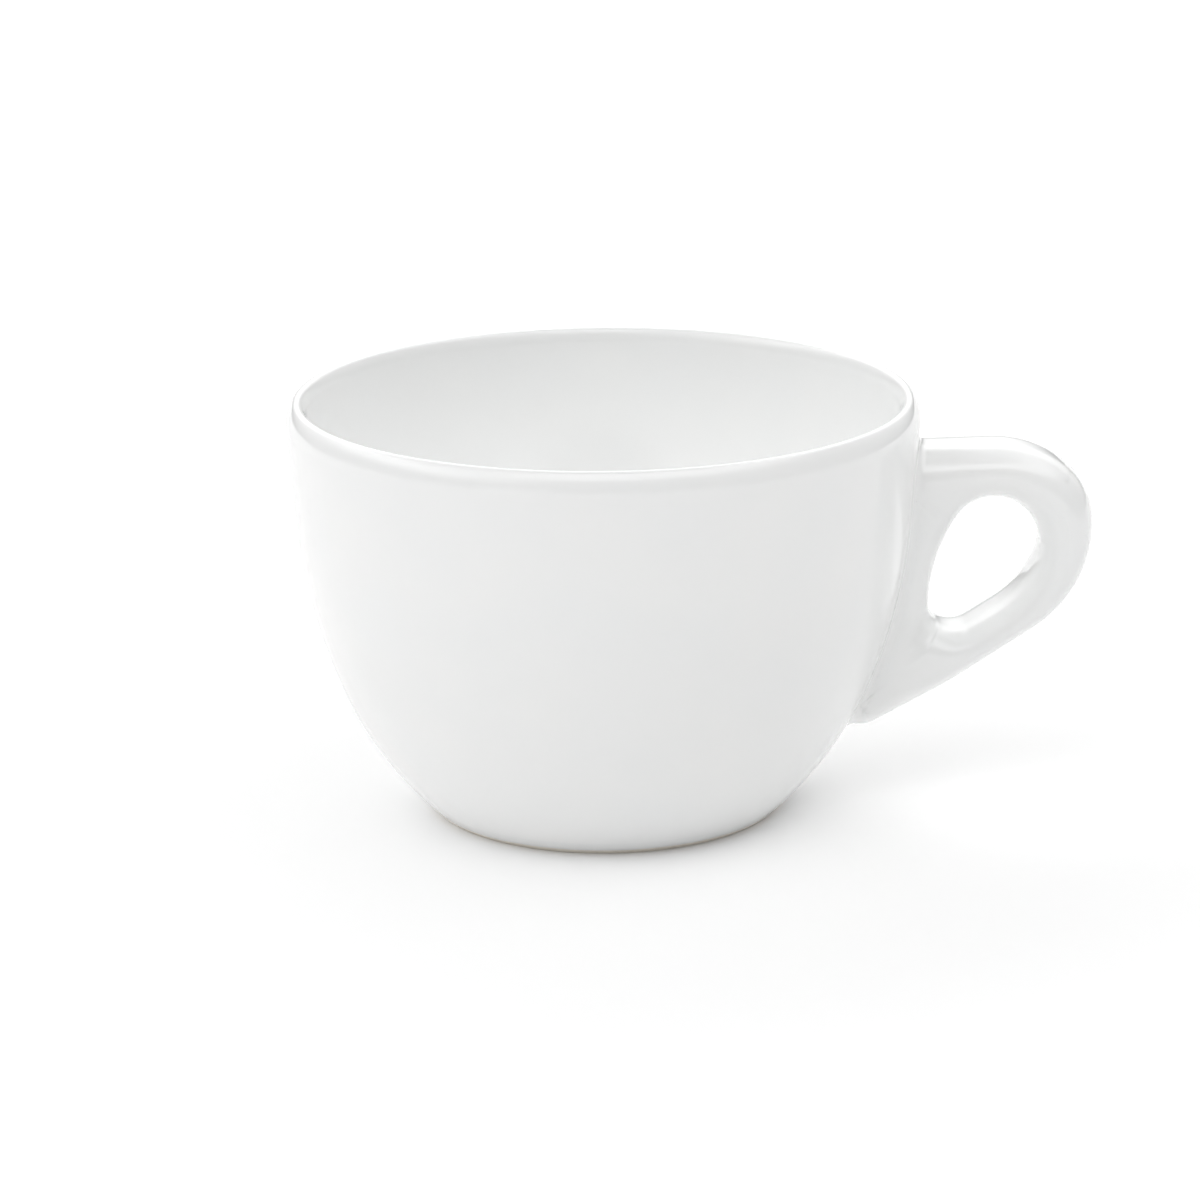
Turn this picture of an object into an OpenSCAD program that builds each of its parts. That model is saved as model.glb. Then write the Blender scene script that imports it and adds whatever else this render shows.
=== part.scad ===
// Cappuccino cup in glazed porcelain.
// The bowl is a body of revolution about +Z that stands on Z = 0, and the handle points along +X.

/* [Bowl] */
// Largest outside diameter, just below the lip
cup_d = 87.7; // [80:0.1:104]
// Height from the table to the top of the lip
cup_h = 58.6; // [54:0.5:66]
// Outside diameter where the wall runs out at the table
foot_d = 48.4; // [42:0.5:56]
// Height of the straight stretch of the outside wall, with the lip
straight_h = 15.4; // [8:0.5:20]
// Lean of the straight stretch from upright, in degrees
wall_lean = 4; // [2:0.5:6]
// Radius of the outside curve below the straight stretch
upper_curve_r = 79.5; // [60:1:100]
// Lean of the wall where the upper curve runs into the lower one, in degrees
waist_lean = 22; // [16:1:26]

/* [Wall] */
// Thickness of the lip where its rounding starts
lip_t = 2.8; // [2.4:0.1:4]
// Radius over the top of the lip
lip_top_r = 1; // [0.7:0.1:1.1]
// Radius in which the lip's outside draws in to its top
lip_outer_r = 4.6; // [3:0.1:8]
// Lean of the inside wall under the lip, in degrees
inner_lean = 5.5; // [4:0.5:7]
// Lean of the inside wall where it turns into the bottom curve, in degrees
inner_waist_lean = 25; // [22:1:28]
// Height of the bottom curve, as a share of the depth inside
bottom_curve_share = 0.26; // [0.22:0.01:0.32]
// Thickness of the floor above the recess
floor_t = 4.8; // [4:0.1:7]

/* [Foot] */
// Height of the foot ring, which is also the depth of the recess
foot_h = 2.2; // [1.5:0.1:3]
// Width of the foot ring on the table, with its rounded edges
foot_w = 3.4; // [2.6:0.1:5]
// Radius of the ring's rounded edges
foot_edge_r = 0.7; // [0.3:0.1:1]
// Lean of the recess wall from upright, in degrees
recess_lean = 30; // [10:1:40]

/* [Handle] */
// Reach of the handle beyond the lip
handle_reach = 23.85; // [20:0.05:30]
// Height of the handle's upper edge
handle_high_z = 51.1; // [44:0.1:52]
// Height of the handle's lower end at the wall
handle_low_z = 11.7; // [10:0.1:16]
// Thickness of the handle from side to side
handle_t = 14; // [10:0.5:16]
// Radius of the handle's rolled edges, seen from the side
handle_edge_r = 2.1; // [1:0.1:2.3]
// Depth of the rolled edges across the thickness
handle_edge_depth = 3.4; // [1:0.1:4.6]
// Thickness of the layer of slip that the handle is stuck on with
slip_t = 0.5; // [0.2:0.1:0.8]
// Width of the bead of slip round the handle's root
slip_bead = 0.7; // [0.3:0.1:1.5]

/* [Hidden] */
$fn = 128;
glaze_white = "#F2F2F0";
biscuit_white = "#ECE8E0";

// Number of flats in which a curve of a profile is drawn
curve_steps = 12;
// Number of flats in which a corner of the handle's outlines is drawn
corner_steps = 8;
// Number of flats in which a rolled or rounded edge is drawn
roll_steps = 4;
// Longest step along a straight stretch of the handle's outline
outline_step = 2.6;
// How far the handle's blank runs on inside the wall before it is cut to the bowl
root_depth = 6;

// The handle's outline, anticlockwise from its lower end: each corner's reach beyond the lip,
// height above the lower end and radius, the last two as shares of the handle's height
outer_corner_shares = [
  [-0.304, 0.001, 0.089],
  [0.143, 0.152, 1.52],
  [0.977, 0.481, 0.444],
  [1.015, 0.83, 0.241],
  [0.662, 1.001, 0.404]
];
// The finger hole's outline, anticlockwise from its lower end, in the same shares
hole_corner_shares = [
  [0.036, 0.245, 0.098],
  [0.595, 0.464, 0.409],
  [0.797, 0.722, 0.193],
  [0.355, 0.893, 0.152],
  [0.05, 0.624, 0.596]
];
// The point in the finger hole from which the handle's sections fan out
pivot_shares = [0.404, 0.62];
// Height of the upper edge where it goes into the wall, as a share of the handle's height
upper_root_share = 0.99;
// Most of the handle's width that one rolled edge may take, where the handle is narrow
roll_room_share = 0.47;
// Radius of the blank's hidden corners, as a share of the rolled edges' radius
root_corner_share = 1.5;

// Unit vector at an angle in a plane
function ray(a) = [cos(a), sin(a)];
// Angle from one point to another
function heading(p, q) = atan2(q[1] - p[1], q[0] - p[0]);
// Angle brought within half a turn of zero
function half_turn(a) = a - 360 * round(a / 360);
// Points on an arc between two angles
function arc(c, r, a1, a2, steps) = [for (i = [0:steps]) c + r * ray(a1 + (a2 - a1) * i / steps)];

// The bowl's outside, as tangent curves from the lip down to the foot
rim_r = cup_d / 2;
foot_r = foot_d / 2;
lip_turn = acos((lip_outer_r * cos(wall_lean) + lip_top_r - lip_t) / (lip_outer_r - lip_top_r));
lip_outer_z = cup_h - lip_top_r - (lip_outer_r - lip_top_r) * sin(lip_turn);
lip_outer_c = [rim_r - lip_outer_r, lip_outer_z];
lip_top_c = lip_outer_c + (lip_outer_r - lip_top_r) * ray(lip_turn);
straight_z = cup_h - straight_h;
straight_top = lip_outer_c + lip_outer_r * ray(-wall_lean);
straight_low = straight_top - (straight_top[1] - straight_z) * [tan(wall_lean), 1];
upper_c = straight_low - upper_curve_r * ray(-wall_lean);
waist = upper_c + upper_curve_r * ray(-waist_lean);
to_foot = [foot_r, 0] - waist;
lower_curve_r = -to_foot * to_foot / (2 * to_foot * ray(-waist_lean));
lower_c = waist - lower_curve_r * ray(-waist_lean);
foot_edge_z = foot_edge_r - lower_c[1];
foot_edge_c = [lower_c[0] + sqrt(pow(lower_curve_r - foot_edge_r, 2) - pow(foot_edge_z, 2)), foot_edge_r];
foot_edge_a = heading(lower_c, foot_edge_c);

// Angle on the lower curve at a height
function lower_a(z) = asin((z - lower_c[1]) / lower_curve_r);
// Outside radius of the wall at a height
function wall_r(z) =
  z > straight_z ? straight_low[0] + (z - straight_z) * tan(wall_lean) :
  z > waist[1] ? upper_c[0] + sqrt(pow(upper_curve_r, 2) - pow(z - upper_c[1], 2)) :
  lower_c[0] + sqrt(pow(lower_curve_r, 2) - pow(z - lower_c[1], 2));

// The bowl's inside, from the lip down to the flat of the floor
floor_z = foot_h + floor_t;
inner_top = lip_top_c - lip_top_r * ray(-inner_lean);
inner_depth = inner_top[1] - floor_z;
inner_curve_r = (1 - bottom_curve_share) * inner_depth / (sin(inner_waist_lean) - sin(inner_lean));
inner_c = inner_top - inner_curve_r * ray(-inner_lean);
inner_waist = inner_c + inner_curve_r * ray(-inner_waist_lean);
bottom_curve_r = (inner_waist[1] - floor_z) / (1 - sin(inner_waist_lean));
bottom_c = inner_waist - bottom_curve_r * ray(-inner_waist_lean);

// Outside of the wall from a height up to the lip, grown by a thickness
function wall_outline(from_a, grow) = concat(
  arc(lower_c, lower_curve_r + grow, from_a, -waist_lean, curve_steps),
  arc(upper_c, upper_curve_r + grow, -waist_lean, -wall_lean, curve_steps)
);

// Solid of the bowl's outside form without the hollow, grown by a thickness
module bowl_form(grow) {
  rotate_extrude()
    polygon(concat(
      [[0, cup_h], [0, foot_h]],
      wall_outline(lower_a(foot_h), grow),
      [straight_top + grow * ray(-wall_lean), [rim_r + grow, cup_h]]
    ));
}

module bowl() {
  color(glaze_white)
    rotate_extrude()
      polygon(concat(
        [[0, floor_z], [0, foot_h]],
        wall_outline(lower_a(foot_h), 0),
        arc(lip_outer_c, lip_outer_r, -wall_lean, lip_turn, roll_steps),
        arc(lip_top_c, lip_top_r, lip_turn, 180 - inner_lean, curve_steps),
        arc(inner_c, inner_curve_r, -inner_lean, -inner_waist_lean, curve_steps),
        arc(bottom_c, bottom_curve_r, -inner_waist_lean, -90, curve_steps)
      ));
}

// The ring stands under the floor, and its outside carries on the line of the wall
ring_in_r = foot_edge_c[0] + foot_edge_r - foot_w;
ring_in_c = [ring_in_r + foot_edge_r, foot_edge_r];
ring_in_edge = ring_in_c - foot_edge_r * ray(-recess_lean);

module foot_ring() {
  color(biscuit_white)
    rotate_extrude()
      polygon(concat(
        [ring_in_edge - (foot_h - ring_in_edge[1]) * [tan(recess_lean), -1]],
        arc(ring_in_c, foot_edge_r, 180 - recess_lean, 270, roll_steps),
        arc(foot_edge_c, foot_edge_r, -90, foot_edge_a, roll_steps),
        arc(lower_c, lower_curve_r, foot_edge_a, lower_a(foot_h), roll_steps)
      ));
}

// A corner of an outline in real sizes, from its shares
handle_h = handle_high_z - handle_low_z;
function corner(s) = [rim_r + s[0] * handle_reach, handle_low_z + s[1] * handle_h, s[2] * handle_h];

// Turn of an outline at a corner, and the length of side that the corner's rounding takes
function corner_turn(before, here, after) = half_turn(heading(here, after) - heading(before, here));
function corner_take(before, here, after) = here[2] * tan(corner_turn(before, here, after) / 2);

// Rounded corner of an anticlockwise outline: points with the angle of their outward normal
function round_corner(before, here, after, r) =
  let (
    from_a = heading(before, here) - 90,
    turn = corner_turn(before, here, after),
    start = [here[0], here[1]] - r * tan(turn / 2) * ray(from_a + 90),
    c = start - r * ray(from_a)
  )
  [for (i = [0:corner_steps])
    let (a = from_a + turn * i / corner_steps, p = c + r * ray(a))
      [p[0], p[1], a]];

// Steps along the straight stretch between two points, without its ends
function stretch(p, q) =
  let (n = ceil(norm([q[0] - p[0], q[1] - p[1]]) / outline_step))
  [for (i = [1:n - 1]) [p[0] + (q[0] - p[0]) * i / n, p[1] + (q[1] - p[1]) * i / n, p[2]]];

// Closed outline with rounded corners, whose radii shrink alike where a side is short for them
function outline(corners) =
  let (
    n = len(corners),
    take = [for (i = [0:n - 1])
      corner_take(corners[(i + n - 1) % n], corners[i], corners[(i + 1) % n])],
    room = [for (i = [0:n - 1])
      let (side = corners[(i + 1) % n] - corners[i])
        norm([side[0], side[1]]) / (take[i] + take[(i + 1) % n])],
    fit = min(1, min(room)),
    arcs = [for (i = [0:n - 1])
      round_corner(corners[(i + n - 1) % n], corners[i], corners[(i + 1) % n], fit * corners[i][2])]
  )
  [for (i = [0:n - 1]) each concat(arcs[i], stretch(arcs[i][corner_steps], arcs[(i + 1) % n][0]))];

// The blank's hidden corners lie inside the wall, and the bowl's form is cut away from them
root_corner_r = root_corner_share * handle_edge_r;
root_corners = [
  [wall_r(handle_high_z) - root_depth, handle_low_z + upper_root_share * handle_h, root_corner_r],
  [wall_r(handle_low_z) - root_depth, handle_low_z, root_corner_r]
];
outer_path = outline(concat([for (s = outer_corner_shares) corner(s)], root_corners));
hole_path = outline([for (s = hole_corner_shares) corner(s)]);
pivot = [rim_r + pivot_shares[0] * handle_reach, handle_low_z + pivot_shares[1] * handle_h];

// The finger hole by direction from the pivot: distance, and angle of the outline's normal
hole_from = heading(pivot, hole_path[0]);
hole_turns = [for (p = hole_path) ((heading(pivot, p) - hole_from) % 360 + 360) % 360];
hole_distance = [for (i = [0:len(hole_path)])
  let (k = i % len(hole_path), p = hole_path[k])
    [i < len(hole_path) ? hole_turns[k] : 360, norm([p[0], p[1]] - pivot)]];
hole_normal = [for (i = [0:len(hole_path)])
  let (k = i % len(hole_path), t = i < len(hole_path) ? hole_turns[k] : 360)
    [t, t + half_turn(hole_path[k][2] - hole_from - t)]];

// Rolled edge about a centre, between two angles from the flat of the side at a distance flat_y
function roll(c, out, r, flat_y, from_a, to_a) =
  [for (i = [0:roll_steps])
    let (a = from_a + (to_a - from_a) * i / roll_steps, p = c + r[0] * sin(a) * out)
      [p[0], flat_y - r[1] * (1 - cos(a)), p[1]]];

// Half of a section through the handle, from the finger hole's edge to the outer edge
function half_section(outer, grow) =
  let (
    turned = ((heading(pivot, outer) - hole_from) % 360 + 360) % 360,
    hole = pivot + lookup(turned, hole_distance) * ray(turned + hole_from),
    into_hole = -ray(lookup(turned, hole_normal) + hole_from),
    out = ray(outer[2]),
    edge = [outer[0], outer[1]],
    edge_r = min(handle_edge_r, roll_room_share * (edge - hole) * out),
    r = [edge_r + grow, handle_edge_depth + grow],
    flat_y = handle_t / 2 + grow
  )
  concat(
    roll(hole - edge_r * into_hole, into_hole, r, flat_y, 90, 0),
    roll(edge - edge_r * out, out, r, flat_y, 0, 90)
  );
// Whole section, with the other half mirrored
function section(outer, grow) =
  let (half = half_section(outer, grow), n = len(half))
  concat(half, [for (i = [n - 1:-1:0]) [half[i][0], -half[i][1], half[i][2]]]);

// The handle's blank, skinned over sections that fan out round the finger hole
module blank(grow) {
  sections = [for (p = outer_path) section(p, grow)];
  n = len(sections);
  m = len(sections[0]);
  polyhedron(
    points = [for (s = sections) each s],
    faces = [for (i = [0:n - 1], j = [0:m - 1])
      let (a = i * m + j, b = i * m + (j + 1) % m, c = (i + 1) % n * m + j, d = (i + 1) % n * m + (j + 1) % m)
        each [[a, b, d], [a, d, c]]]
  );
}

// The slip fills the joint between the wall and the handle, and stands out round it as a bead
module luting_slip() {
  color(glaze_white)
    difference() {
      intersection() {
        blank(slip_bead);
        bowl_form(slip_t);
      }
      bowl_form(0);
    }
}

// The handle's root is cut to the curve of the wall, less the thickness of the slip
module handle() {
  color(glaze_white)
    difference() {
      blank(0);
      bowl_form(slip_t);
    }
}

bowl();
foot_ring();
luting_slip();
handle();
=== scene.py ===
from math import acos, asin, atan2, ceil, cos, hypot, pi, radians, sin, sqrt, tan

import bmesh
import bpy
from mathutils import Matrix, Vector


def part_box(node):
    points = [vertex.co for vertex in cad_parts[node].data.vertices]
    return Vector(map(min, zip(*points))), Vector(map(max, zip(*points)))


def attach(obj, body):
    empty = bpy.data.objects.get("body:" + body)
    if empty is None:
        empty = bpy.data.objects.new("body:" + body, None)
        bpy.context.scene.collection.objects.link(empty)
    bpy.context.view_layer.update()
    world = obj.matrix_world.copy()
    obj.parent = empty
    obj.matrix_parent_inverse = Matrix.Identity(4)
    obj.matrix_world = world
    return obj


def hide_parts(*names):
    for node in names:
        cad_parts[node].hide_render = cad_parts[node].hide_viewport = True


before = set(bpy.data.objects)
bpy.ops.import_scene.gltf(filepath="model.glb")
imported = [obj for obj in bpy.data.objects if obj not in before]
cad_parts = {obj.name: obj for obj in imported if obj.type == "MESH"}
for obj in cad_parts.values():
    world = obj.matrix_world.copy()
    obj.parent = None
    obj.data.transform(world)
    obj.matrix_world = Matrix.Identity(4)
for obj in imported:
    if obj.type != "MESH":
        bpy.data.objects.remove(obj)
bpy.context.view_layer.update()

# The bowl: white porcelain, roller-formed in a turning plaster mould, dried, glazed and fired.
# Its wall is about 6 mm thick low down and 2.8 mm at the lip, which draws in on its outside
# and is rounded off to the inside. The foot ring and the handle belong to the same fired body.

# Sizes are in metres and angles in radians, and the cup's axis is the line X = Y = 0
MM = 0.001
rim_r = 43.85 * MM
cup_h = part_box("bowl")[1].z
foot_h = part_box("bowl")[0].z
foot_r = 24.2 * MM
straight_h = 15.4 * MM
straight_z = cup_h - straight_h
wall_lean = radians(4)
upper_curve_r = 79.5 * MM
waist_lean = radians(22)
lip_t = 2.8 * MM
lip_top_r = 0.75 * MM
lip_outer_r = 4.6 * MM
lip_inner_r = 4 * MM
lip_turn = radians(39.2)
inner_lean = radians(5.5)
inner_waist_lean = radians(25)
bottom_curve_share = 0.26
floor_t = 4.8 * MM
floor_z = foot_h + floor_t
ROUND_STEPS = 256
CURVE_STEPS = 24
LIP_STEPS = 20
MERGE_DIST = 0.001 * MM
CORNER_ANGLE = radians(40)


def ray(angle):
    """Direction at an angle above +X, in the plane Y = 0."""
    return Vector((cos(angle), 0, sin(angle)))


def profile_start(bm, point):
    """The first vertex of a profile, which is drawn in the plane Y = 0."""
    return bmesh.ops.create_vert(bm, co=point)["vert"][0]


def profile_line(bm, vert, point):
    """Carries the profile on in a straight line to a point."""
    grown = bmesh.ops.extrude_vert_indiv(bm, verts=[vert])["verts"][0]
    grown.co = point
    return grown


def profile_arc(bm, vert, centre, turn, steps):
    """Carries the profile on round a centre, anticlockwise as seen with +X to the right."""
    swept = bmesh.ops.spin(bm, geom=[vert], cent=centre, axis=(0, -1, 0), angle=turn, steps=steps)
    return swept["geom_last"][0]


def turned_piece(bm, name):
    """Turns the profile once round the cup's axis and closes its poles."""
    bmesh.ops.spin(
        bm,
        geom=bm.verts[:] + bm.edges[:],
        cent=(0, 0, 0),
        axis=(0, 0, 1),
        angle=2 * pi,
        steps=ROUND_STEPS,
        use_merge=True,
    )
    return finished_piece(bm, name)


def finished_piece(bm, name):
    """Makes the object: doubles merged, faces outward, smooth except at true corners."""
    bmesh.ops.remove_doubles(bm, verts=bm.verts, dist=MERGE_DIST)
    bmesh.ops.recalc_face_normals(bm, faces=bm.faces)
    mesh = bpy.data.meshes.new(name)
    bm.to_mesh(mesh)
    bm.free()
    mesh.shade_smooth()
    mesh.set_sharp_from_angle(angle=CORNER_ANGLE)
    piece = bpy.data.objects.new(name, mesh)
    bpy.context.scene.collection.objects.link(piece)
    return piece


# The lip: three arcs that run into each other, down to where the wall has its thickness
outer_reach = lip_outer_r - lip_top_r
inner_reach = lip_inner_r - lip_top_r
lip_outer_c = Vector((rim_r - lip_outer_r, 0, cup_h - lip_top_r - outer_reach * sin(lip_turn)))
lip_top_c = lip_outer_c + outer_reach * ray(lip_turn)
straight_top = lip_outer_c + lip_outer_r * ray(-wall_lean)
lip_inner_side = lip_t - rim_r + lip_top_c.x - lip_inner_r * cos(inner_lean)
lip_inner_turn = acos(lip_inner_side / inner_reach)
lip_inner_c = lip_top_c - inner_reach * ray(lip_inner_turn)

# The outside: a straight stretch, then two curves down to the foot
straight_low = straight_top - (straight_top.z - straight_z) * Vector((tan(wall_lean), 0, 1))
upper_c = straight_low - upper_curve_r * ray(-wall_lean)
waist = upper_c + upper_curve_r * ray(-waist_lean)
to_foot = Vector((foot_r, 0, 0)) - waist
lower_curve_r = -to_foot.length_squared / (2 * to_foot.dot(ray(-waist_lean)))
lower_c = waist - lower_curve_r * ray(-waist_lean)

# The inside: one long curve from the lip, and a tighter one into the flat bottom
inner_top = lip_inner_c - lip_inner_r * ray(-inner_lean)
inner_curve_h = (1 - bottom_curve_share) * (inner_top.z - floor_z)
inner_curve_r = inner_curve_h / (sin(inner_waist_lean) - sin(inner_lean))
inner_c = inner_top - inner_curve_r * ray(-inner_lean)
inner_waist = inner_c + inner_curve_r * ray(-inner_waist_lean)
bottom_curve_r = (inner_waist.z - floor_z) / (1 - sin(inner_waist_lean))
bottom_c = inner_waist - bottom_curve_r * ray(-inner_waist_lean)


def wall_r(z):
    """Outside radius of the bowl at a height."""
    if z > straight_z:
        return straight_low.x + (z - straight_z) * tan(wall_lean)
    if z > waist.z:
        return upper_c.x + sqrt(upper_curve_r**2 - (z - upper_c.z) ** 2)
    return lower_c.x + sqrt(lower_curve_r**2 - (z - lower_c.z) ** 2)


def lower_angle(z):
    """Direction from the lower curve's centre to the wall at a height."""
    return asin((z - lower_c.z) / lower_curve_r)


bm = bmesh.new()
tip = profile_start(bm, (0, 0, foot_h))
tip = profile_line(bm, tip, (wall_r(foot_h), 0, foot_h))
tip = profile_arc(bm, tip, lower_c, -waist_lean - lower_angle(foot_h), CURVE_STEPS)
tip = profile_arc(bm, tip, upper_c, waist_lean - wall_lean, CURVE_STEPS)
tip = profile_line(bm, tip, straight_top)
tip = profile_arc(bm, tip, lip_outer_c, lip_turn + wall_lean, LIP_STEPS)
tip = profile_arc(bm, tip, lip_top_c, lip_inner_turn - lip_turn, LIP_STEPS)
tip = profile_arc(bm, tip, lip_inner_c, pi - inner_lean - lip_inner_turn, LIP_STEPS)
tip = profile_arc(bm, tip, inner_c, inner_lean - inner_waist_lean, CURVE_STEPS)
tip = profile_arc(bm, tip, bottom_c, inner_waist_lean - pi / 2, CURVE_STEPS)
profile_line(bm, tip, (0, 0, floor_z))
bowl = turned_piece(bm, "glazed_bowl")


def linear(hex_colour):
    """A colour for a node's socket from its sRGB hex value."""
    channels = [int(hex_colour[i : i + 2], 16) / 255 for i in (1, 3, 5)]
    return [c / 12.92 if c <= 0.04045 else ((c + 0.055) / 1.055) ** 2.4 for c in channels] + [1]


def add_node(tree, kind, links={}, values={}, **settings):
    """Adds a node: links feed its inputs, values fill them, and settings are its choices."""
    node = tree.nodes.new(kind)
    for name, value in settings.items():
        setattr(node, name, value)
    for name, value in values.items():
        node.inputs[name].default_value = value
    for name, output in links.items():
        tree.links.new(output, node.inputs[name])
    return node


# Clear glaze fired on white hard porcelain, in the kiln one glassy skin with the body.
# The eye gets a clean, neutral white, and a sharp, mild gloss that ripples a little.
GLAZE_THIN = "#FBFBFA"
GLAZE_THICK = "#F8F9F9"
GLAZE_IOR = 1.52
GLOSS_SMOOTH = 0.045
GLOSS_DULL = 0.085
ripple_w = 11 * MM
ripple_h = 0.012 * MM
# The skin's real dimples are about 0.3 mm apart, and are drawn coarser so that they show
peel_w = 0.9 * MM
peel_h = 0.0006 * MM
glaze = bpy.data.materials.new("clear_glazed_porcelain")
glaze.use_nodes = True
tree = glaze.node_tree
shader = tree.nodes["Principled BSDF"]
place = add_node(tree, "ShaderNodeTexCoord").outputs["Object"]
flow = add_node(tree, "ShaderNodeTexNoise", {"Vector": place}, {"Scale": 1 / ripple_w, "Detail": 1})
peel = add_node(tree, "ShaderNodeTexNoise", {"Vector": place}, {"Scale": 1 / peel_w, "Detail": 2})
whites = {6: linear(GLAZE_THIN), 7: linear(GLAZE_THICK)}
tone = add_node(tree, "ShaderNodeMix", {0: flow.outputs[0]}, whites, data_type="RGBA")
gloss = add_node(
    tree,
    "ShaderNodeMapRange",
    {"Value": flow.outputs[0]},
    {"To Min": GLOSS_SMOOTH, "To Max": GLOSS_DULL},
)
ripples = add_node(tree, "ShaderNodeBump", {"Height": flow.outputs[0]}, {"Distance": ripple_h})
skin = add_node(
    tree,
    "ShaderNodeBump",
    {"Height": peel.outputs[0], "Normal": ripples.outputs[0]},
    {"Distance": peel_h},
)
tree.links.new(tone.outputs[2], shader.inputs["Base Color"])
tree.links.new(gloss.outputs[0], shader.inputs["Roughness"])
tree.links.new(skin.outputs[0], shader.inputs["Normal"])
shader.inputs["IOR"].default_value = GLAZE_IOR

bowl.data.materials.append(glaze)
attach(bowl, "root")
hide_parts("bowl")

# The foot ring: formed with the bowl out of the same porcelain, and what the cup stands on.
# Its outside carries on the line of the wall, and its inside leans in to the recess under the floor.

ring_w = 3.4 * MM
foot_edge_r = 0.7 * MM
recess_lean = radians(30)
EDGE_STEPS = 10
SIDE_STEPS = 8
foot_edge_z = foot_edge_r - lower_c.z
foot_edge_x = lower_c.x + sqrt((lower_curve_r - foot_edge_r) ** 2 - foot_edge_z**2)
foot_edge_c = Vector((foot_edge_x, 0, foot_edge_r))
foot_edge_a = atan2(foot_edge_z, foot_edge_x - lower_c.x)
ring_in_c = Vector((foot_edge_x + foot_edge_r - ring_w + foot_edge_r, 0, foot_edge_r))
ring_in_edge = ring_in_c - foot_edge_r * ray(-recess_lean)
bm = bmesh.new()
tip = profile_start(bm, ring_in_edge - (foot_h - ring_in_edge.z) * Vector((tan(recess_lean), 0, -1)))
tip = profile_line(bm, tip, ring_in_edge)
tip = profile_arc(bm, tip, ring_in_c, pi / 2 + recess_lean, EDGE_STEPS)
tip = profile_line(bm, tip, foot_edge_c - Vector((0, 0, foot_edge_r)))
tip = profile_arc(bm, tip, foot_edge_c, pi / 2 + foot_edge_a, EDGE_STEPS)
tip = profile_arc(bm, tip, lower_c, lower_angle(foot_h) - foot_edge_a, SIDE_STEPS)
bm.verts.ensure_lookup_table()
bm.edges.new((tip, bm.verts[0]))
ring = turned_piece(bm, "standing_ring")

# Bare biscuit porcelain under the cup, wiped clean of glaze so that it can't stick to the kiln shelf.
# The eye gets a matt, fine-grained, warmer white below the line where the gloss ends.
BISCUIT = "#E7E1D6"
BISCUIT_ROUGHNESS = 0.6
EDGE_ROUGHNESS = 0.07
glaze_line_z = 0.75 * MM
line_wander = 0.3 * MM
wander_w = 6 * MM
line_w = 0.12 * MM
# The real grain is finer than 0.1 mm, and is drawn coarser so that it shows
grain_w = 0.35 * MM
grain_h = 0.012 * MM
biscuit = bpy.data.materials.new("wiped_biscuit_porcelain")
biscuit.use_nodes = True
tree = biscuit.node_tree
shader = tree.nodes["Principled BSDF"]
place = add_node(tree, "ShaderNodeTexCoord").outputs["Object"]
height = add_node(tree, "ShaderNodeSeparateXYZ", {"Vector": place}).outputs["Z"]
wander = add_node(tree, "ShaderNodeTexNoise", {"Vector": place}, {"Scale": 1 / wander_w, "Detail": 2})
grain = add_node(tree, "ShaderNodeTexNoise", {"Vector": place}, {"Scale": 1 / grain_w, "Detail": 3})
edge = add_node(
    tree,
    "ShaderNodeMath",
    {0: wander.outputs[0], 2: height},
    {1: line_wander},
    operation="MULTIPLY_ADD",
)
line_low = glaze_line_z + line_wander / 2 - line_w / 2
glazed = add_node(
    tree,
    "ShaderNodeMapRange",
    {"Value": edge.outputs[0]},
    {"From Min": line_low, "From Max": line_low + line_w},
)
whites = {6: linear(BISCUIT), 7: linear(GLAZE_THICK)}
tone = add_node(tree, "ShaderNodeMix", {0: glazed.outputs[0]}, whites, data_type="RGBA")
gloss = add_node(
    tree,
    "ShaderNodeMapRange",
    {"Value": glazed.outputs[0]},
    {"To Min": BISCUIT_ROUGHNESS, "To Max": EDGE_ROUGHNESS},
)
bare = add_node(
    tree,
    "ShaderNodeMapRange",
    {"Value": glazed.outputs[0]},
    {"To Min": grain_h, "To Max": 0},
)
grit = add_node(tree, "ShaderNodeBump", {"Height": grain.outputs[0], "Distance": bare.outputs[0]})
tree.links.new(tone.outputs[2], shader.inputs["Base Color"])
tree.links.new(gloss.outputs[0], shader.inputs["Roughness"])
tree.links.new(grit.outputs[0], shader.inputs["Normal"])
shader.inputs["IOR"].default_value = GLAZE_IOR
ring.data.materials.append(biscuit)
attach(ring, "root")
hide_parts("foot_ring")

# The handle: porcelain cast in a two-part mould, pear-shaped and pierced for one finger.
# Its edges are sponged round, and its root is cut to the curve of the bowl, where slip holds it.

# Corners of the two outlines as seen from the side: reach, height and radius in millimetres
handle_outer = [
    (36.6, 11.75, 3.5),
    (47.25, 17.7, 60),
    (67.15, 30.65, 17.5),
    (68.05, 44.4, 9.5),
    (59.65, 51.15, 15.9),
    (37.5, 50.7, 3),
    (31, 11.7, 3),
]
finger_hole = [
    (44.7, 21.4, 3.8),
    (58.05, 30, 16.1),
    (62.9, 40.15, 7.6),
    (52.3, 46.9, 6),
    (45.05, 36.3, 23.5),
]
# A point in the finger hole from which the sections fan out
hole_pivot = Vector((53.5, 0, 36.3)) * MM
handle_t = 14 * MM
# The rolled edges: radius from the side, depth across, and the most of the width that one takes
roll_r = 4.2 * MM
roll_depth = 5.5 * MM
roll_room = 0.47
# The flat sides stand out a little in the middle, and less where they are narrow
side_crown = 0.4 * MM
crown_share = 0.04
# Both outlines are fuller by up to twice this, most where they run level, as the rolls thin them
edge_rise = 0.25 * MM
root_embed = 1.0 * MM
OUTLINE_STEP = 0.8 * MM
HOLE_STEP = 0.1 * MM
HOLE_REACH = 4
CORNER_MORE_STEPS = 3
ROLL_STEPS = 12
FLAT_STEPS = 6


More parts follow.
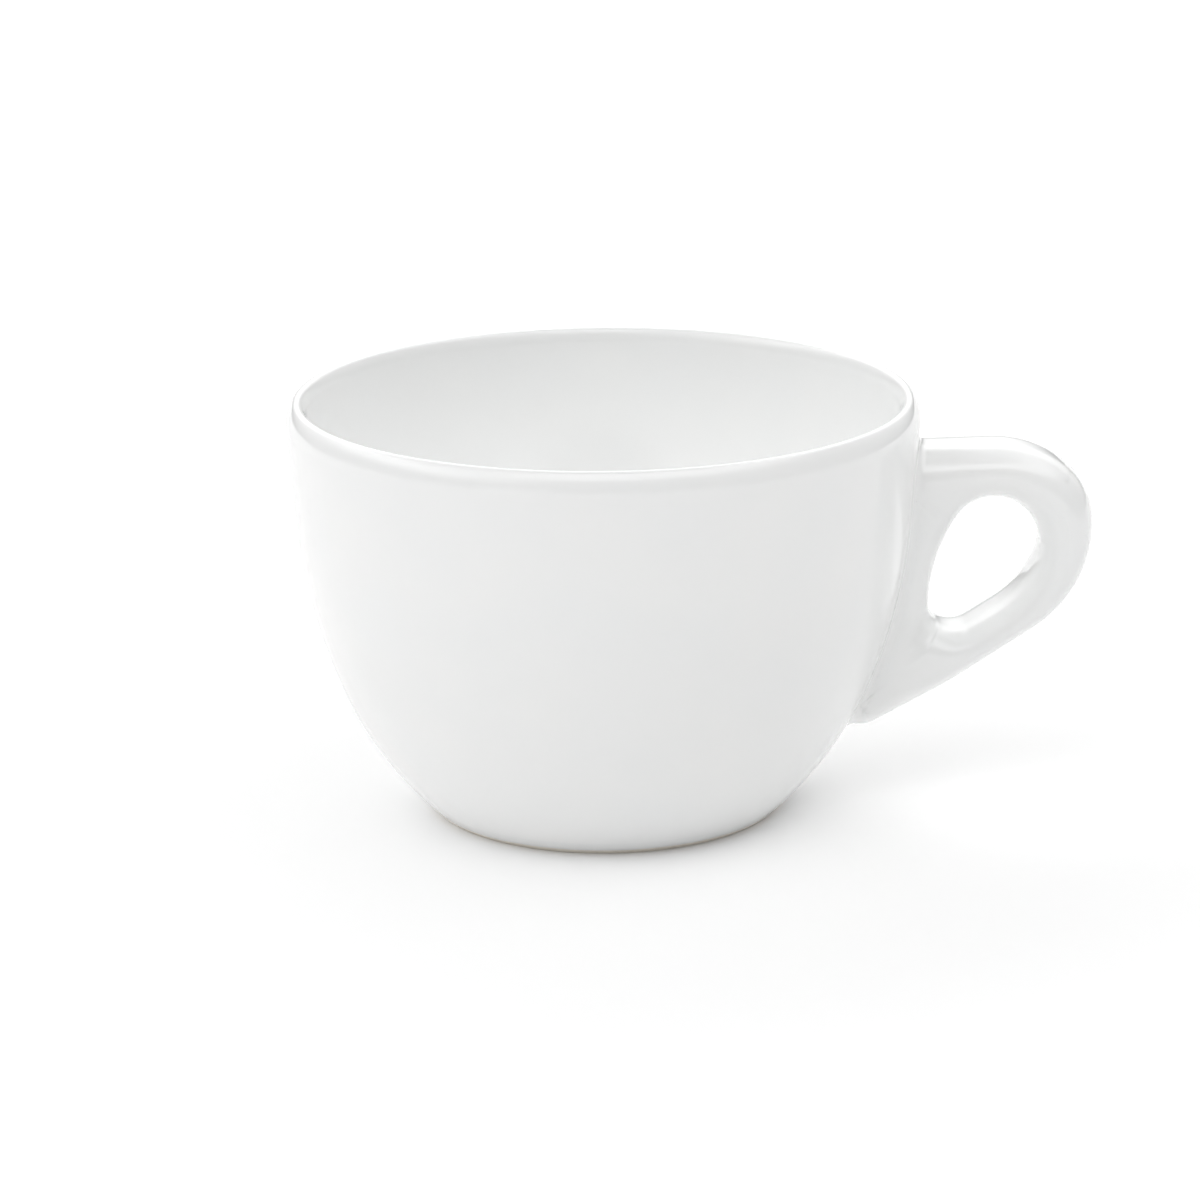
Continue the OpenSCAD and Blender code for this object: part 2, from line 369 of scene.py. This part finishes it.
def rounded_outline(corners, step):
    """Points along a closed outline, anticlockwise, with its corners rounded by spins."""
    bm = bmesh.new()
    tip = None
    count = len(corners)
    for i, (x, z, r) in enumerate(corners):
        here = Vector((x, 0, z)) * MM
        before = Vector((corners[i - 1][0], 0, corners[i - 1][1])) * MM
        after = Vector((corners[(i + 1) % count][0], 0, corners[(i + 1) % count][1])) * MM
        way_in = (here - before).normalized()
        way_out = (after - here).normalized()
        turn = atan2(way_in.x * way_out.z - way_in.z * way_out.x, way_in.dot(way_out))
        start = here - r * MM * tan(turn / 2) * way_in
        centre = start + r * MM * Vector((-way_in.z, 0, way_in.x))
        if tip is None:
            first = tip = profile_start(bm, start)
        else:
            tip = profile_run(bm, tip, start, step)
        steps = ceil(abs(turn) * r * MM / step) + CORNER_MORE_STEPS
        tip = profile_arc(bm, tip, centre, turn, steps)
    profile_run(bm, tip, first.co.copy(), step)
    points = [v.co.copy() for v in bm.verts][:-1]
    bm.free()
    return points


def profile_run(bm, vert, point, step):
    """Carries the profile on in a straight line in short steps."""
    start = vert.co.copy()
    steps = ceil((point - start).length / step)
    for i in range(steps):
        vert = profile_line(bm, vert, start.lerp(point, (i + 1) / steps))
    return vert


PARALLEL = 1e-15
HIT_SLACK = 1e-9


def hit(path, origin, towards):
    """Where the ray from a point inside a closed path crosses it."""
    way = (towards - origin).normalized()
    for i, p in enumerate(path):
        q = path[(i + 1) % len(path)]
        side = q - p
        cross = way.x * side.z - way.z * side.x
        if abs(cross) < PARALLEL:
            continue
        along_ray = ((p.x - origin.x) * side.z - (p.z - origin.z) * side.x) / cross
        share = ((p.x - origin.x) * way.z - (p.z - origin.z) * way.x) / cross
        if along_ray > 0 and -HIT_SLACK <= share <= 1 + HIT_SLACK:
            return p.lerp(q, share)


outer_path = rounded_outline(handle_outer, OUTLINE_STEP)
hole_outline = rounded_outline(finger_hole, HOLE_STEP)
hole_path = [hit(hole_outline, hole_pivot, p) for p in outer_path]


def path_normal(path, i, reach=1):
    """Direction away from a closed path at one of its points, from the points on either side."""
    side = path[(i + reach) % len(path)] - path[i - reach]
    return Vector((side.z, 0, -side.x)).normalized()


def section_points(i):
    """Half of the section at a point of the outline, from the finger hole to the outer edge."""
    out = path_normal(outer_path, i)
    edge = outer_path[i] + 2 * edge_rise * abs(out.z) * out
    hole_out = path_normal(hole_path, i, HOLE_REACH)
    hole = hole_path[i] - edge_rise * (1 + abs(hole_out.z)) * hole_out
    r = min(roll_r, roll_room * (edge - hole).dot(out))
    flat_w = (edge - hole).dot(out) - 2 * r
    crown = min(side_crown, crown_share * flat_w)
    flat_y = handle_t / 2 - crown
    points = [hole.copy()]
    hole_c = hole + r * hole_out
    edge_c = edge - r * out
    for k in range(ROLL_STEPS + 1):
        a = pi / 2 * (1 - k / ROLL_STEPS)
        y = flat_y - roll_depth * (1 - cos(a))
        points.append(hole_c - r * sin(a) * hole_out + Vector((0, y, 0)))
    for k in range(1, FLAT_STEPS):
        share = k / FLAT_STEPS
        y = flat_y + crown * sin(pi * share) ** 2
        points.append(hole_c.lerp(edge_c, share) + Vector((0, y, 0)))
    for k in range(ROLL_STEPS + 1):
        a = pi / 2 * k / ROLL_STEPS
        y = flat_y - roll_depth * (1 - cos(a))
        points.append(edge_c + r * sin(a) * out + Vector((0, y, 0)))
    points.append(edge.copy())
    return points


def swept_handle():
    """The outline swept round its section on one side, and mirrored to the other."""
    sections = [section_points(i) for i in range(len(outer_path))]
    bm = bmesh.new()
    place = bm.verts.layers.int.new("place")
    ring = [bm.verts.new(s[0]) for s in sections]
    for i, v in enumerate(ring):
        v[place] = i
    edges = [bm.edges.new((v, ring[(i + 1) % len(ring)])) for i, v in enumerate(ring)]
    for step in range(1, len(sections[0])):
        grown = bmesh.ops.extrude_edge_only(bm, edges=edges)["geom"]
        edges = [e for e in grown if isinstance(e, bmesh.types.BMEdge)]
        for v in grown:
            if isinstance(v, bmesh.types.BMVert):
                v.co = sections[v[place]][step]
    whole = bm.verts[:] + bm.edges[:] + bm.faces[:]
    bmesh.ops.mirror(bm, geom=whole, merge_dist=MERGE_DIST, axis="Y")
    bmesh.ops.remove_doubles(bm, verts=bm.verts, dist=MERGE_DIST / 10)
    bmesh.ops.recalc_face_normals(bm, faces=bm.faces)
    return bm


def flatten_wall(bm):
    """Bends the handle so that the bowl's outside becomes the plane X = 0."""
    for v in bm.verts:
        v.co.x = hypot(v.co.x, v.co.y) - wall_r(v.co.z)


def bend_back(bm):
    """Bends a flattened handle back round the bowl."""
    for v in bm.verts:
        v.co.x = sqrt((v.co.x + wall_r(v.co.z)) ** 2 - v.co.y**2)


def cut_near(bm, x):
    """Takes off what lies nearer the wall, or deeper in it, than x."""
    whole = bm.verts[:] + bm.edges[:] + bm.faces[:]
    bmesh.ops.bisect_plane(bm, geom=whole, plane_co=(x, 0, 0), plane_no=(1, 0, 0), clear_inner=True)


bm = swept_handle()
flatten_wall(bm)
cut_near(bm, -root_embed)
bmesh.ops.holes_fill(bm, edges=[e for e in bm.edges if e.is_boundary], sides=0)
bend_back(bm)
handle = finished_piece(bm, "cast_handle")
handle.data.materials.append(glaze)
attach(handle, "root")
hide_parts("handle")

# The slip: liquid porcelain clay that sticks the handle to the bowl while both are leather hard.
# What squeezes out is sponged to a small hollow fillet all round the root, under the same glaze.
# It is a thin collar of the handle's own section, cut to the wall and flared out over it.

fillet_r = 1.3 * MM
fillet_sink = 0.012 * MM
fillet_embed = 0.3 * MM
FILLET_STEPS = 9
bm = swept_handle()
flatten_wall(bm)
cut_near(bm, -fillet_embed)
for k in range(FILLET_STEPS + 1):
    cut = Vector((fillet_r * (1 - sin(pi / 2 * k / FILLET_STEPS)), 0, 0))
    whole = bm.verts[:] + bm.edges[:] + bm.faces[:]
    bmesh.ops.bisect_plane(bm, geom=whole, plane_co=cut, plane_no=(1, 0, 0), clear_outer=k == 0)
bm.normal_update()
for v in bm.verts:
    away = Vector((0, v.normal.y, v.normal.z)).normalized()
    rise = max(0, v.co.x)
    flare = fillet_r - sqrt(max(0, fillet_r**2 - (fillet_r - rise) ** 2))
    v.co += away * (flare - fillet_sink)
bmesh.ops.holes_fill(bm, edges=[e for e in bm.edges if e.is_boundary], sides=0)
bend_back(bm)
slip = finished_piece(bm, "slip_fillet")
slip.data.materials.append(glaze)
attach(slip, "root")
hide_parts("luting_slip")

# The studio: a white table that runs out of the picture, soft panels all round, and the camera
# a little above the rim. None of it is part of the cup.

WHITE = (1, 1, 1, 1)
TABLE_WHITE = (0.9, 0.9, 0.9, 1)
TABLE_ROUGHNESS = 0.9
TABLE_GLOW = 0.09
table_half = 3
bm = bmesh.new()
bmesh.ops.create_grid(bm, x_segments=1, y_segments=1, size=table_half)
floor = finished_piece(bm, "table")
paper = bpy.data.materials.new("white_table")
paper.use_nodes = True
shader = paper.node_tree.nodes["Principled BSDF"]
shader.inputs["Base Color"].default_value = TABLE_WHITE
shader.inputs["Roughness"].default_value = TABLE_ROUGHNESS
shader.inputs["Emission Color"].default_value = WHITE
shader.inputs["Emission Strength"].default_value = TABLE_GLOW
floor.data.materials.append(paper)

# The camera stands a little over half a metre in front of the cup and looks down on it
camera_at = Vector((0, -575.18, 196.99)) * MM
camera_pan = radians(0.068)
camera_dip = radians(16.28)
camera_roll = radians(-0.58)
cam_data = bpy.data.cameras.new("camera")
cam_data.lens = 128.385
camera = bpy.data.objects.new("camera", cam_data)
camera.matrix_world = (
    Matrix.Translation(camera_at)
    @ Matrix.Rotation(camera_pan, 4, "Z")
    @ Matrix.Rotation(pi / 2 - camera_dip, 4, "X")
    @ Matrix.Rotation(camera_roll, 4, "Z")
)
bpy.context.scene.collection.objects.link(camera)
bpy.context.scene.camera = camera

# Each panel of soft light: the side it stands on, how high its middle is and how bright.
# The height is the sine of the angle above the table. A panel fades out to all its edges.
SOFT_PANELS = [
    ((-1, 0, 0), 0.6, 4.7),
    ((1, 0, 0), 0.6, 0.5),
    ((0, 1, 0), 0.6, 3.9),
    ((0, 1, 0), 0.3, 1.8),
    ((1, 0, 0), 0.9, 10.8),
    ((0, -1, 0), 0.9, 11.4),
]
PANEL_HALF_HEIGHT = 0.3
world = bpy.data.worlds.new("studio")
world.use_nodes = True
tree = world.node_tree
way = add_node(tree, "ShaderNodeTexCoord").outputs["Generated"]
height = add_node(tree, "ShaderNodeSeparateXYZ", {"Vector": way}).outputs["Z"]
glow = None
for side, middle, strength in SOFT_PANELS:
    facing = add_node(tree, "ShaderNodeVectorMath", {0: way}, {1: side}, operation="DOT_PRODUCT")
    facing = facing.outputs["Value"]
    ahead = add_node(tree, "ShaderNodeMath", {0: facing}, {1: 0}, operation="MAXIMUM")
    across = add_node(tree, "ShaderNodeMath", {0: ahead.outputs[0]}, {1: 2}, operation="POWER")
    above = add_node(tree, "ShaderNodeMath", {0: height}, {1: middle}, operation="SUBTRACT")
    off = add_node(tree, "ShaderNodeMath", {0: above.outputs[0]}, operation="ABSOLUTE")
    up = add_node(
        tree,
        "ShaderNodeMapRange",
        {"Value": off.outputs[0]},
        {"From Min": PANEL_HALF_HEIGHT, "From Max": 0, "To Max": strength},
    )
    both = {0: across.outputs[0], 1: up.outputs[0]}
    lit = add_node(tree, "ShaderNodeMath", both, operation="MULTIPLY").outputs[0]
    glow = add_node(tree, "ShaderNodeMath", {0: glow, 1: lit}).outputs[0] if glow else lit
tree.nodes["Background"].inputs["Color"].default_value = WHITE
tree.links.new(glow, tree.nodes["Background"].inputs["Strength"])
bpy.context.scene.world = world

# One weak, low lamp to the left of the camera draws the bright line on the far lip
lamp_side = radians(-31)
lamp_rise = radians(8)
lamp_away = 1.2
lamp_w = 0.554
lamp_h = 0.252
lamp_glow = 0.8
lamp_data = bpy.data.lights.new("low_lamp", "AREA")
lamp_data.shape = "RECTANGLE"
lamp_data.size = lamp_w
lamp_data.size_y = lamp_h
lamp_data.energy = lamp_glow * pi * lamp_w * lamp_h
lamp = bpy.data.objects.new("low_lamp", lamp_data)
lamp.visible_camera = False
lamp_aim = Matrix.Rotation(lamp_side, 4, "Z") @ Matrix.Rotation(-lamp_rise, 4, "X")
lamp_at = lamp_aim @ Vector((0, -lamp_away, 0))
lamp_turn = lamp_at.to_track_quat("Z", "Y").to_matrix().to_4x4()
lamp.matrix_world = Matrix.Translation(lamp_at) @ lamp_turn
bpy.context.scene.collection.objects.link(lamp)
bpy.context.scene.view_settings.view_transform = "Standard"
